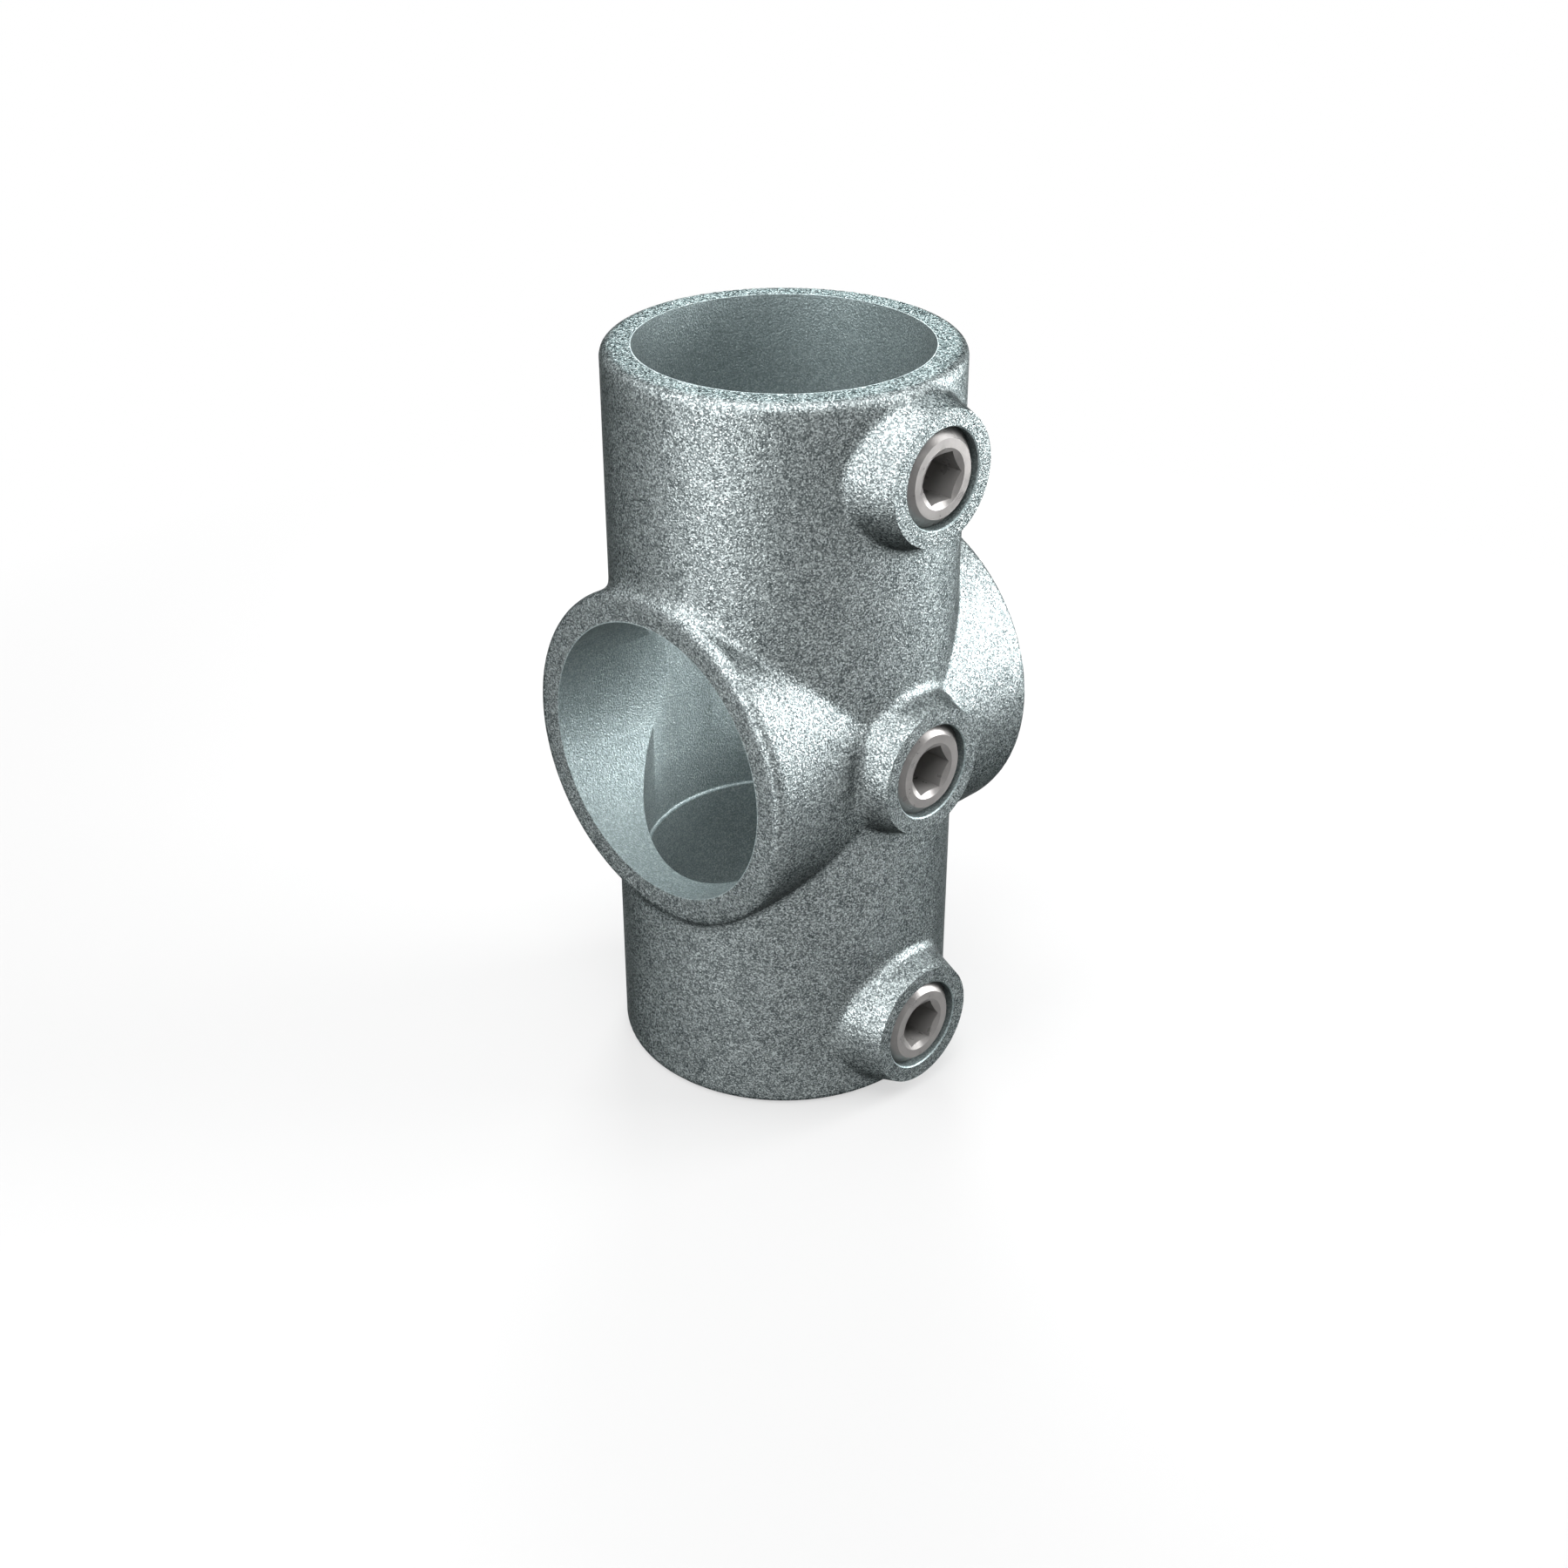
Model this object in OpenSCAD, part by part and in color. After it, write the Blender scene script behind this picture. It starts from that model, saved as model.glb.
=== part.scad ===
// Two socket cross clamp for tube: one cast body with a through sleeve across the
// middle, an open socket above and below it, and a hexagon socket set screw in a
// conical boss for each of the three tubes. The origin is where the axes of the
// sockets (Z) and of the sleeve (Y) cross, and the screws face +X.

/* [Tube and bores] */
// Outer diameter of the tube that the clamp takes
tube_d = 48.3; // [47.9:0.1:48.7]
// How much wider than the tube each bore is
tube_play = 1.7; // [1.2:0.1:2.2]
// How much the chamber behind the sleeve is cored out past the bores
chamber_relief = 0.6; // [0.3:0.1:0.9]
// How far below the sleeve's bore the chamber ends in its ledge
ledge_drop = 5.6; // [3:0.1:8]

/* [Body] */
// Wall of the two sockets
socket_wall = 5.2; // [4.4:0.1:6]
// How much thicker the wall of the sleeve is than that of the sockets
sleeve_extra = 0.2; // [0.1:0.1:0.8]
// Height over both sockets
body_height = 133; // [130:1:150]
// How far each end of the sleeve stands out of the sockets' wall
sleeve_standout = 1; // [0.6:0.1:5]
// Radius of the rounded outer rims
rim_round = 1.7; // [1:0.1:2.2]
// Radius of the fillet where the sleeve leaves the sockets
sleeve_fillet = 2.2; // [1.2:0.1:3]

/* [Screw bosses] */
// Diameter of a boss at its face
boss_face_d = 22.6; // [21.4:0.2:24]
// How far the faces stand out of the sockets' wall
boss_rise = 5.1; // [4:0.1:7]
// Draft of a boss in degrees
boss_draft = 18; // [10:1:22]
// Radius of the fillet at the foot of a boss
boss_fillet = 1.8; // [1:0.1:2.4]
// Distance of the outer screws from the ends of the sockets
screw_inset = 14; // [13.6:0.1:17]

/* [Set screws] */
// Outer diameter of the screw thread
screw_d = 16.66; // [16:0.02:17.2]
// Clearance round the thread in its hole
screw_play = 0.07; // [0.02:0.01:0.1]
// How far a screw sits back from the face of its boss
screw_setback = 0.1; // [0:0.1:1]
// How far the tip stays clear of the bores
tip_clear = 0.2; // [0.1:0.1:1]
// Radial width of the bevel at the outer end
head_bevel = 1.73; // [1:0.01:2]
// Radial width of the bevel at the tip
tip_bevel = 1.4; // [0.8:0.1:2]
// Width across the flats of the hexagon socket
hex_width = 8; // [6:0.1:8.4]
// Depth of the hexagon socket
hex_depth = 7; // [4:0.1:7.6]
// Diameter of the countersink round the hexagon
hex_mouth_d = 10.1; // [9.8:0.1:10.6]
// Diameter of the cup ground into the tip
cup_d = 8.4; // [5:0.1:10]

/* [Hidden] */
$fn = 96;

bore_r = (tube_d + tube_play) / 2;
chamber_r = bore_r + chamber_relief;
ledge_z = bore_r + ledge_drop;
body_r = bore_r + socket_wall;
sleeve_r = body_r + sleeve_extra;
half_height = body_height / 2;
half_sleeve = body_r + sleeve_standout;

boss_reach = body_r + boss_rise;
boss_r = boss_face_d / 2;
screw_z = half_height - screw_inset;
screw_r = screw_d / 2;
hole_r = screw_r + screw_play;
mouth_bevel = 0.2;

screw_face_x = boss_reach - screw_setback;
screw_tip_x = bore_r + tip_clear;
screw_length = screw_face_x - screw_tip_x;
hex_r = hex_width / 2 / cos(30);
mouth_r = hex_mouth_d / 2;
// the countersink's side and the cup's side both stand at this angle to the end faces
cone_angle = 30;

// how deep the blends are let into what they join, so that no two faces are tangent
blend_bite = 0.04;
// how far a blend's inner edge lies under the corner that it fills
blend_root = 1.2;
blend_steps = 5;
// how often the span is halved in which a ball's centre is looked for
halvings = 40;
boss_stations = 44;
sleeve_stations = 88;
// an overlap that no finished face depends on
over = 2;

CAST = [0.62, 0.67, 0.67];
STEEL = [0.66, 0.64, 0.62];

// Distance of a point from a cylinder with rounded rims, the point being d from its
// axis and h from its middle, and the way out of the cylinder there as [d, h].
function past_rim(d, h, r, half) = h > half - rim_round && d > r - rim_round;
function rim_gap(d, h, r, half) =
    past_rim(d, h, r, half)
        ? norm([d - r + rim_round, h - half + rim_round]) - rim_round
        : d - r;
function rim_way(d, h, r, half) =
    past_rim(d, h, r, half)
        ? unit([d - r + rim_round, h - half + rim_round])
        : [1, 0];

function unit(v) = v / norm(v);
function body_gap(p) = rim_gap(norm([p.x, p.y]), abs(p.z), body_r, half_height);
function sleeve_gap(p) = rim_gap(norm([p.x, p.z]), abs(p.y), sleeve_r, half_sleeve);

function body_way(p) =
    let (d = norm([p.x, p.y]), w = rim_way(d, abs(p.z), body_r, half_height))
    [w[0] * p.x / d, w[0] * p.y / d, w[1] * sign(p.z)];
function sleeve_way(p) =
    let (d = norm([p.x, p.z]), w = rim_way(d, abs(p.y), sleeve_r, half_sleeve))
    [w[0] * p.x / d, w[1] * sign(p.y), w[0] * p.z / d];

// Section of a fillet of radius r round the centre p, from the surface in direction a
// to the surface in direction b, closed by a root point inside the metal. Seen along
// the ring, the turn from a to b is clockwise, so that the ring's faces point outwards.
function blend_section(p, r, a, b) =
    let (turn = acos(a * b), mid = unit(a + b))
    concat(
        [for (k = [0:blend_steps])
            let (s = k / blend_steps)
            p + r * (sin((1 - s) * turn) * a + sin(s * turn) * b) / sin(turn)],
        [p + (r / cos(turn / 2) + blend_root) * mid]
    );

// Closed ring that runs through a list of sections and back to the first.
module section_ring(sections) {
    n = len(sections);
    m = len(sections[0]);
    polyhedron(
        points = [for (s = sections, q = s) q],
        faces = [for (i = [0:n - 1], j = [0:m - 1])
            let (
                a = i * m + j,
                b = i * m + (j + 1) % m,
                c = ((i + 1) % n) * m + (j + 1) % m,
                d = ((i + 1) % n) * m + j
            )
            each [[a, b, c], [a, c, d]]],
        convexity = 6
    );
}

// Centre of the ball that rolls round a boss, on its cone and on the nearer of the
// body and the sleeve, found by halving the span of x in which it lies.
function boss_ball_at(x, z0, turn, r) =
    let (d = boss_r + (boss_reach - x) * tan(boss_draft) + r / cos(boss_draft))
    [x, d * cos(turn), z0 + d * sin(turn)];
function boss_ball(z0, turn, r, low, high, rounds) =
    let (mid = (low + high) / 2, p = boss_ball_at(mid, z0, turn, r))
    rounds == 0
        ? p
        : min(body_gap(p), sleeve_gap(p)) > r
            ? boss_ball(z0, turn, r, low, mid, rounds - 1)
            : boss_ball(z0, turn, r, mid, high, rounds - 1);

function boss_section(z0, turn) =
    let (
        r = boss_fillet,
        p = boss_ball(z0, turn, r - blend_bite, body_r - boss_r, boss_reach + over * r, halvings),
        wall = body_gap(p) < sleeve_gap(p) ? body_way(p) : sleeve_way(p),
        side = [sin(boss_draft), cos(boss_draft) * cos(turn), cos(boss_draft) * sin(turn)]
    )
    blend_section(p, r, -wall, -side);

module boss_blend(z0) {
    section_ring([for (i = [0:boss_stations - 1]) boss_section(z0, 360 * i / boss_stations)]);
}

// Centre of the ball that rolls on the socket wall at the angle turn round Z and on the
// sleeve, or on the sleeve's rounded rim where the sleeve's side has already ended.
function sleeve_ball(turn, r) =
    let (
        x = (body_r + r) * cos(turn),
        y = (body_r + r) * sin(turn),
        on_rim = max(abs(y) - half_sleeve + rim_round, 0),
        d = sleeve_r - rim_round + sqrt(pow(rim_round + r, 2) - pow(on_rim, 2))
    )
    [x, y, sqrt(d * d - x * x)];

function sleeve_section(turn) =
    let (r = sleeve_fillet, p = sleeve_ball(turn, r - blend_bite))
    blend_section(p, r, -sleeve_way(p), -body_way(p));

module sleeve_blend() {
    section_ring([for (i = [0:sleeve_stations - 1]) sleeve_section(360 * i / sleeve_stations)]);
}

// Solid turned piece with rounded rims, standing on its middle.
module rounded_bar(r, half) {
    rotate_extrude()
        union() {
            translate([0, -half]) square([r - rim_round, 2 * half]);
            translate([0, rim_round - half]) square([r, 2 * (half - rim_round)]);
            for (end = [-1, 1])
                intersection() {
                    translate([r - rim_round, end * (half - rim_round)]) circle(rim_round);
                    translate([r - rim_round, end * half - rim_round]) square(2 * rim_round);
                }
        }
}

// Everything that has the axis of the screws is turned round Z and then laid along X.
module along_x(x, z) {
    translate([x, 0, z]) rotate([0, 90, 0]) children();
}

module boss(z0) {
    length = boss_reach - body_r + boss_r;
    along_x(boss_reach - length, z0)
        cylinder(h = length, r1 = boss_r + length * tan(boss_draft), r2 = boss_r);
}

// Bores of the two sockets with the wider chamber between them, whose ends are filleted
// into the two ledges.
module socket_bores() {
    cylinder(h = body_height + 2 * over, r = bore_r, center = true);
    rotate_extrude()
        union() {
            translate([0, chamber_relief - ledge_z])
                square([chamber_r, 2 * (ledge_z - chamber_relief)]);
            for (end = [-1, 1])
                translate([bore_r, end * (ledge_z - chamber_relief)]) circle(chamber_relief);
        }
}

module sleeve_bore() {
    rotate([90, 0, 0]) cylinder(h = 2 * (half_sleeve + over), r = bore_r, center = true);
}

module screw_hole(z0) {
    along_x(bore_r / 2, z0) cylinder(h = boss_reach, r = hole_r);
    along_x(boss_reach - mouth_bevel, z0)
        cylinder(h = over, r1 = hole_r, r2 = hole_r + over);
}

module cross_body() {
    color(CAST)
        difference() {
            union() {
                rounded_bar(body_r, half_height);
                rotate([90, 0, 0]) rounded_bar(sleeve_r, half_sleeve);
                intersection() {
                    union()
                        for (z0 = [-screw_z, 0, screw_z]) {
                            boss(z0);
                            boss_blend(z0);
                        }
                    cube([4 * boss_reach, 4 * boss_reach, body_height], center = true);
                }
                sleeve_blend();
                mirror([0, 0, 1]) sleeve_blend();
            }
            socket_bores();
            sleeve_bore();
            for (z0 = [-screw_z, 0, screw_z]) screw_hole(z0);
        }
}

module hex_socket() {
    translate([0, 0, screw_length - hex_depth]) cylinder(h = hex_depth + over, r = hex_r, $fn = 6);
    translate([0, 0, screw_length - mouth_r * tan(cone_angle)])
        cylinder(h = mouth_r * tan(cone_angle), r1 = 0, r2 = mouth_r);
}

module set_screw() {
    color(STEEL)
        difference() {
            rotate_extrude()
                polygon([
                    [0, 0],
                    [screw_r - tip_bevel, 0],
                    [screw_r, tip_bevel],
                    [screw_r, screw_length - head_bevel],
                    [screw_r - head_bevel, screw_length],
                    [0, screw_length]
                ]);
            hex_socket();
            cylinder(h = cup_d / 2 * tan(cone_angle), r1 = cup_d / 2, r2 = 0);
        }
}

module screw_in_place(z0) {
    along_x(screw_tip_x, z0) rotate([0, 0, 90]) set_screw();
}

cross_body();
screw_in_place(screw_z);  // upper_set_screw
screw_in_place(0);  // middle_set_screw
screw_in_place(-screw_z);  // lower_set_screw
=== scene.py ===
"""Looks of a two socket cross clamp for tube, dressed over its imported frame.

The casting and each of the three set screws are built by Geometry Nodes trees from named
sizes in millimetres and end as plain meshes in metres. The casting is a distance rule with
rolled fillets that is turned into a skin, drawn onto the rule, and then bored. A screw is a
row of turned bands with a thread, a countersunk hexagon and a cup.
"""

from __future__ import annotations

import logging
import math
from dataclasses import dataclass
from enum import Enum
from typing import Any, Callable, Iterable

import bmesh
import bpy
from bpy.types import Material, Mesh, Node, NodeSocket, NodeTree, Object
from mathutils import Matrix, Vector

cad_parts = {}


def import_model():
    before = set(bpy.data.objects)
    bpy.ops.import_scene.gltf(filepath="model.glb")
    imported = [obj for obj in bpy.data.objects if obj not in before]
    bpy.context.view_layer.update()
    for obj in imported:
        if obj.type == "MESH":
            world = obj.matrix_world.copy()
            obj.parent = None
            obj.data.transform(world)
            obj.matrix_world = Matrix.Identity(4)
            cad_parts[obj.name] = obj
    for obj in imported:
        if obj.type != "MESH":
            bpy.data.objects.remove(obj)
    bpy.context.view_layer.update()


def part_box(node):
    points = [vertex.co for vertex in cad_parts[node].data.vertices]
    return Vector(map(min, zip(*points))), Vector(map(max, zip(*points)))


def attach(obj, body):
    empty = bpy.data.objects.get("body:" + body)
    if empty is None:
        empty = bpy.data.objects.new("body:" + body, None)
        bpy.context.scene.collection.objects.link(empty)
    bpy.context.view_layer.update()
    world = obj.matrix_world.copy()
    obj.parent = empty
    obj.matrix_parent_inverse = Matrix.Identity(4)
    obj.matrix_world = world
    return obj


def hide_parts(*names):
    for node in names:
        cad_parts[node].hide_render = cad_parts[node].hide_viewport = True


LOG = logging.getLogger("cross_clamp")
MILLIMETRE = 0.001
FADE = 0.6
Colour = tuple[float, float, float]
Pair = tuple[float, float]
Profile = list[Pair]
WHITE: Colour = (1.0, 1.0, 1.0)


class Axis(Enum):
    """The axes that the clamp's round forms stand on."""

    X = (1.0, 0.0, 0.0)
    Y = (0.0, 1.0, 0.0)
    Z = (0.0, 0.0, 1.0)


# Node trees


def find_socket(sockets: Iterable[NodeSocket], key: str | int) -> NodeSocket:
    """Finds a socket of a node.

    Args:
        sockets: The node's inputs or outputs.
        key: The socket's identifier, its name, or its place in the row.

    Returns:
        The socket.
    """
    row = list(sockets)
    if isinstance(key, int):
        return row[key]
    for socket in row:
        if socket.identifier == key:
            return socket
    for socket in row:
        if socket.name == key and socket.enabled:
            return socket
    raise KeyError(f"no socket {key!r} among {[socket.name for socket in row]}")


class Net:
    """A node tree, and the one way in which nodes are added to it."""

    def __init__(self, tree: NodeTree) -> None:
        """Keeps the tree that the nodes go into, and empties it."""
        self.tree = tree
        self.tree.nodes.clear()

    def add(
        self,
        kind: str,
        settings: dict[str, Any] | None = None,
        sockets: dict[str | int, Any] | None = None,
    ) -> Node:
        """Adds a node.

        Args:
            kind: The node's type, as Blender names it.
            settings: The node's settings, which are set before its sockets.
            sockets: Values or links for its input sockets.

        Returns:
            The new node.
        """
        node = self.tree.nodes.new(kind)
        for name, value in (settings or {}).items():
            setattr(node, name, value)
        for key, value in (sockets or {}).items():
            self.feed(find_socket(node.inputs, key), value)
        return node

    def feed(self, socket: NodeSocket, value: Any) -> None:
        """Links a socket to another node, or sets its own value.

        Args:
            socket: The input socket.
            value: A wrapped or bare output socket, or a plain value.
        """
        source = getattr(value, "socket", value)
        if isinstance(source, NodeSocket):
            self.tree.links.new(source, socket)
        else:
            socket.default_value = source

    def number(self, kind: str, output: str | int = 0, **parts: Any) -> Value:
        """Adds a node, as `add` does, and wraps one of its outputs as a number."""
        return Value(self, find_socket(self.add(kind, **parts).outputs, output))

    def arrow(self, kind: str, output: str | int = 0, **parts: Any) -> Arrow:
        """Adds a node, as `add` does, and wraps one of its outputs as a vector."""
        return Arrow(self, find_socket(self.add(kind, **parts).outputs, output))

    def join(self, x: Any, y: Any, z: Any) -> Arrow:
        """Joins three numbers into a vector."""
        return self.arrow("ShaderNodeCombineXYZ", sockets={"X": x, "Y": y, "Z": z})

    def through(self, kind: str, shape: NodeSocket, **sockets: Any) -> NodeSocket:
        """Sends a shape through a geometry node and gives the shape that comes out."""
        return self.add(kind, None, {"Geometry": shape} | sockets).outputs[0]


def math_node(net: Net, operation: str, *terms: Any) -> Value:
    """Adds a Math node that works on one to three terms, wrapped numbers or plain ones."""
    return net.number(
        "ShaderNodeMath", settings={"operation": operation}, sockets=dict(enumerate(terms))
    )


@dataclass(frozen=True)
class Value:
    """A number that the nodes of a tree work out, for use in Python expressions."""

    net: Net
    socket: NodeSocket

    def _math(self, operation: str, *others: Any) -> Value:
        """Adds a Math node that works on this number and others."""
        return math_node(self.net, operation, self, *others)

    def __add__(self, other: Any) -> Value:
        """Sum."""
        return self._math("ADD", other)

    __radd__ = __add__

    def __mul__(self, other: Any) -> Value:
        """Product."""
        return self._math("MULTIPLY", other)

    __rmul__ = __mul__

    def __sub__(self, other: Any) -> Value:
        """Difference."""
        return self._math("SUBTRACT", other)

    def __rsub__(self, other: Any) -> Value:
        """Difference from a number that stands first."""
        return math_node(self.net, "SUBTRACT", other, self)

    def __truediv__(self, other: Any) -> Value:
        """Quotient."""
        return self._math("DIVIDE", other)

    def __rtruediv__(self, other: Any) -> Value:
        """Quotient of a number that stands first."""
        return math_node(self.net, "DIVIDE", other, self)

    def __gt__(self, other: Any) -> Value:
        """One where this is greater, otherwise zero."""
        return self._math("GREATER_THAN", other)

    def __lt__(self, other: Any) -> Value:
        """One where this is less, otherwise zero."""
        return self._math("LESS_THAN", other)

    def root(self) -> Value:
        """Square root."""
        return self._math("SQRT")

    def size(self) -> Value:
        """Value without its sign."""
        return self._math("ABSOLUTE")

    def sign(self) -> Value:
        """Minus one, zero or one."""
        return self._math("SIGN")

    def sine(self) -> Value:
        """Sine of an angle in radians."""
        return self._math("SINE")

    def cosine(self) -> Value:
        """Cosine of an angle in radians."""
        return self._math("COSINE")

    def tangent(self) -> Value:
        """Tangent of an angle in radians."""
        return self._math("TANGENT")

    def folded(self, step: float) -> Value:
        """Distance from the nearest whole multiple of a step."""
        return self._math("PINGPONG", step / 2.0)

    def at_least(self, floor: Any) -> Value:
        """The greater of this and another number."""
        return self._math("MAXIMUM", floor)

    def at_most(self, ceiling: Any) -> Value:
        """The smaller of this and another number."""
        return self._math("MINIMUM", ceiling)

    def spread(self, low: float, high: float, to_low: float = 0.0, to_high: float = 1.0) -> Value:
        """Maps one span onto another and stops at its ends.

        Args:
            low: Start of the span that this number runs through.
            high: End of that span.
            to_low: What the start becomes.
            to_high: What the end becomes.

        Returns:
            The mapped number.
        """
        spans = {"From Min": low, "From Max": high, "To Min": to_low, "To Max": to_high}
        return self.net.number("ShaderNodeMapRange", sockets={"Value": self} | spans)


@dataclass(frozen=True)
class Arrow:
    """A vector that the nodes of a tree work out, for use in Python expressions."""

    net: Net
    socket: NodeSocket

    def _node(self, operation: str, *others: Any) -> Node:
        """Adds a Vector Math node that works on this vector and others."""
        sockets = dict(enumerate((self, *others)))
        return self.net.add("ShaderNodeVectorMath", {"operation": operation}, sockets)

    def _vector(self, operation: str, *others: Any) -> Arrow:
        """Vector that a Vector Math node gives."""
        return Arrow(self.net, self._node(operation, *others).outputs["Vector"])

    def _number(self, operation: str, *others: Any) -> Value:
        """Number that a Vector Math node gives."""
        return Value(self.net, self._node(operation, *others).outputs["Value"])

    def __add__(self, other: Any) -> Arrow:
        """Sum."""
        return self._vector("ADD", other)

    def __sub__(self, other: Any) -> Arrow:
        """Difference."""
        return self._vector("SUBTRACT", other)

    def __mul__(self, factor: Any) -> Arrow:
        """Product with a number."""
        return self.net.arrow(
            "ShaderNodeVectorMath",
            settings={"operation": "SCALE"},
            sockets={0: self, "Scale": factor},
        )

    __rmul__ = __mul__

    def dot(self, other: Any) -> Value:
        """Dot product."""
        return self._number("DOT_PRODUCT", other)

    def length(self) -> Value:
        """Length."""
        return self._number("LENGTH")

    def unit(self) -> Arrow:
        """The vector at a length of one."""
        return self._vector("NORMALIZE")

    def parts(self) -> tuple[Value, Value, Value]:
        """The three numbers of the vector."""
        node = self.net.add("ShaderNodeSeparateXYZ", sockets={0: self})
        x, y, z = (Value(self.net, socket) for socket in node.outputs)
        return x, y, z


def chosen(net: Net, test: Value, yes: Arrow, no: Arrow) -> Arrow:
    """Picks one of two vectors, the first where the test is one."""
    return net.arrow(
        "ShaderNodeMix",
        "Result_Vector",
        settings={"data_type": "VECTOR"},
        sockets={"Factor_Float": test, "A_Vector": no, "B_Vector": yes},
    )


def picked(test: Value, yes: Any, no: Any) -> Value:
    """Picks or blends two numbers, the first where the test is one."""
    return test * (yes - no) + no


class Socket(Enum):
    """The kinds of socket that the trees' own inputs and outputs have."""

    NUMBER = "NodeSocketFloat"
    WHOLE = "NodeSocketInt"
    ARROW = "NodeSocketVector"
    SHAPE = "NodeSocketGeometry"
    FINISH = "NodeSocketMaterial"

    def named(self, *labels: str) -> dict[str, Socket]:
        """Sockets of this kind, by their names."""
        return dict.fromkeys(labels, self)


RULE_GIVES = {"Distance": Socket.NUMBER, "Way out": Socket.ARROW}


class Recipe:
    """A Geometry Nodes tree or group with named inputs and outputs."""

    def __init__(self, name: str, inputs: dict[str, Socket], outputs: dict[str, Socket]) -> None:
        """Makes the tree and its sockets.

        Args:
            name: The tree's name.
            inputs: Names and kinds of its inputs.
            outputs: Names and kinds of its outputs.
        """
        self.tree = bpy.data.node_groups.new(name, "GeometryNodeTree")
        for side, sockets in (("INPUT", inputs), ("OUTPUT", outputs)):
            for label, kind in sockets.items():
                self.tree.interface.new_socket(label, in_out=side, socket_type=kind.value)
        self.net = Net(self.tree)
        self.source = self.net.add("NodeGroupInput")
        self.drain = self.net.add("NodeGroupOutput")

    def number(self, label: str) -> Value:
        """The named input as a number."""
        return Value(self.net, self.bare(label))

    def arrow(self, label: str) -> Arrow:
        """The named input as a vector."""
        return Arrow(self.net, self.bare(label))

    def bare(self, label: str) -> NodeSocket:
        """The named input as it is."""
        return find_socket(self.source.outputs, label)

    def close(self, **results: Any) -> None:
        """Feeds the outputs, which are named with underscores for their spaces."""
        for label, value in results.items():
            self.net.feed(find_socket(self.drain.inputs, label.replace("_", " ")), value)

    def close_shape(self, shape: NodeSocket) -> None:
        """Brings a shape to metres, makes it real, gives it the finish and feeds the output.

        Args:
            shape: The shape, in millimetres.
        """
        finish = self.bare("Finish")
        scaled = self.net.through("GeometryNodeTransform", shape, Scale=(MILLIMETRE,) * 3)
        real = self.net.through("GeometryNodeRealizeInstances", scaled)
        self.close(Shape=self.net.through("GeometryNodeSetMaterial", real, Material=finish))

    def used_in(self, net: Net, **values: Any) -> Node:
        """Adds this group to another tree, with its inputs named as `close` names outputs."""
        sockets = {label.replace("_", " "): value for label, value in values.items()}
        return net.add("GeometryNodeGroup", {"node_tree": self.tree}, sockets)

    def mesh(self, name: str, values: dict[str, Any]) -> Mesh:
        """Runs the tree and takes its result as a plain mesh.

        Args:
            name: The mesh's name.
            values: Its inputs, by name.

        Returns:
            The mesh.
        """
        carrier = bpy.data.objects.new(name + "_carrier", bpy.data.meshes.new(name + "_seed"))
        bpy.context.scene.collection.objects.link(carrier)
        modifier = carrier.modifiers.new("recipe", "NODES")
        modifier.node_group = self.tree
        for item in self.tree.interface.items_tree:
            if item.item_type == "SOCKET" and item.in_out == "INPUT" and item.name in values:
                modifier[item.identifier] = values[item.name]
        result = plain_mesh(carrier, name)
        carrier.modifiers.remove(modifier)
        bpy.data.objects.remove(carrier)
        return result


def sizes_of(owner: Any, labels: Iterable[str]) -> dict[str, float]:
    """Takes a sub-assembly's sizes by its tree's inputs, which are its fields in words."""
    return {label: getattr(owner, label.lower().replace(" ", "_")) for label in labels}


# Meshes


def plain_mesh(thing: Object, name: str) -> Mesh:
    """Takes what an object's modifiers give as a mesh of its own.

    Args:
        thing: The object.
        name: The new mesh's name.

    Returns:
        The mesh.
    """
    bpy.context.view_layer.update()
    graph = bpy.context.evaluated_depsgraph_get()
    mesh = bpy.data.meshes.new_from_object(
        thing.evaluated_get(graph), preserve_all_data_layers=True, depsgraph=graph
    )
    mesh.name = name
    return mesh


def linked(name: str, mesh: Mesh) -> Object:
    """Puts a mesh in the scene as an object at the origin."""
    thing = bpy.data.objects.new(name, mesh)
    bpy.context.scene.collection.objects.link(thing)
    return thing


def closed_up(mesh: Mesh, gap: float) -> None:
    """Merges a mesh's doubles, drops its slivers and turns its faces outwards.

    Args:
        mesh: The mesh.
        gap: Greatest distance between two points that become one, in metres.
    """
    sliver = gap / 10.0
    form = bmesh.new()
    form.from_mesh(mesh)
    bmesh.ops.remove_doubles(form, verts=form.verts, dist=gap)
    bmesh.ops.dissolve_degenerate(form, edges=form.edges, dist=sliver)
    bmesh.ops.recalc_face_normals(form, faces=form.faces)
    form.to_mesh(mesh)
    form.free()


def shaded(mesh: Mesh, crease: float) -> None:
    """Shades a mesh smooth, and keeps edges sharp from the crease's angle in degrees."""
    mesh.polygons.foreach_set("use_smooth", [True] * len(mesh.polygons))
    mesh.set_sharp_from_angle(angle=math.radians(crease))


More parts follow.
